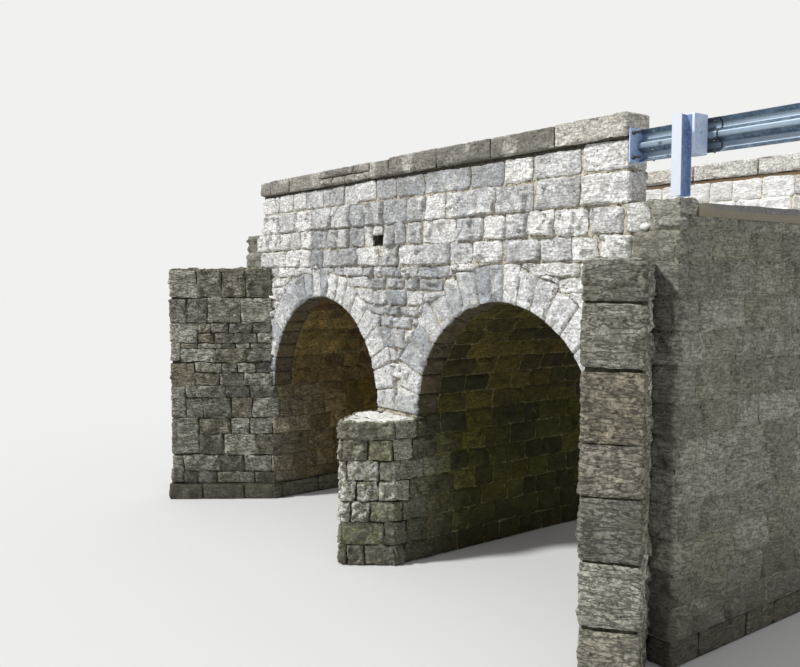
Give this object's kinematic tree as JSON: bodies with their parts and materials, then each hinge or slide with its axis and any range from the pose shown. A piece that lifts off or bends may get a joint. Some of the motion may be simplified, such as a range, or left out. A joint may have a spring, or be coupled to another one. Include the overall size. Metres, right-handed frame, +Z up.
{
  "type": "stone arch bridge",
  "caption": "Small road bridge of rough-faced limestone with two half-round arches, a pointed cutwater, flared wing walls, coped parapets and a steel guardrail.",
  "frame": {"origin": "middle of the pier's base, on the stream bed, halfway between the two faces of the bridge", "axes": "+X along the bridge to the right as seen from upstream, +Y points downstream, +Z up"},
  "size_m": [11.3883, 7.0244, 5.275],
  "materials": {
    "face_stone": "rock-faced limestone, weathered pale grey with tan mortar",
    "ring_stone": "rock-faced limestone, pale blue-grey",
    "coping_stone": "pitted tooled limestone, grey-brown",
    "creek_masonry": "rock-faced limestone, dark olive-brown with buff mortar",
    "cutwater_stone": "rock-faced limestone, grey-olive with pale lichen",
    "vault_stone": "limestone, dark olive-brown with buff mortar",
    "wing_stone": "rock-faced limestone, grey-olive with dark joints",
    "footing_stone": "rock-faced limestone, dark and damp",
    "core_fill": "rubble and earth",
    "road_surface": "worn asphalt",
    "galvanised_steel": "weathered zinc coating",
    "anchor_steel": "dark weathered steel",
    "spacer_block": "dull grey"
  },
  "bodies": {
    "root": {"left_footing": "footing_stone", "right_footing": "footing_stone", "left_abutment": "creek_masonry", "right_abutment": "creek_masonry", "pier": "creek_masonry", "upstream_cutwater": "cutwater_stone", "downstream_cutwater": "cutwater_stone", "left_vault": "vault_stone", "right_vault": "vault_stone", "upstream_left_ring": "ring_stone", "upstream_right_ring": "ring_stone", "downstream_left_ring": "ring_stone", "downstream_right_ring": "ring_stone", "upstream_spandrel_wall": "face_stone", "downstream_spandrel_wall": "face_stone", "upstream_parapet": "face_stone", "downstream_parapet": "face_stone", "upstream_coping": "coping_stone", "downstream_coping": "coping_stone", "upstream_left_wing": "wing_stone", "upstream_right_wing": "wing_stone", "downstream_left_wing": "wing_stone", "downstream_right_wing": "wing_stone", "core_fill": "core_fill", "road_surface": "road_surface", "rail_end_plate": "galvanised_steel", "rail_anchor_bolts": "anchor_steel", "rail_near_length": "galvanised_steel", "rail_far_length": "galvanised_steel", "rail_posts": "galvanised_steel", "rail_blocks": "spacer_block"}
  },
  "joints": []
}
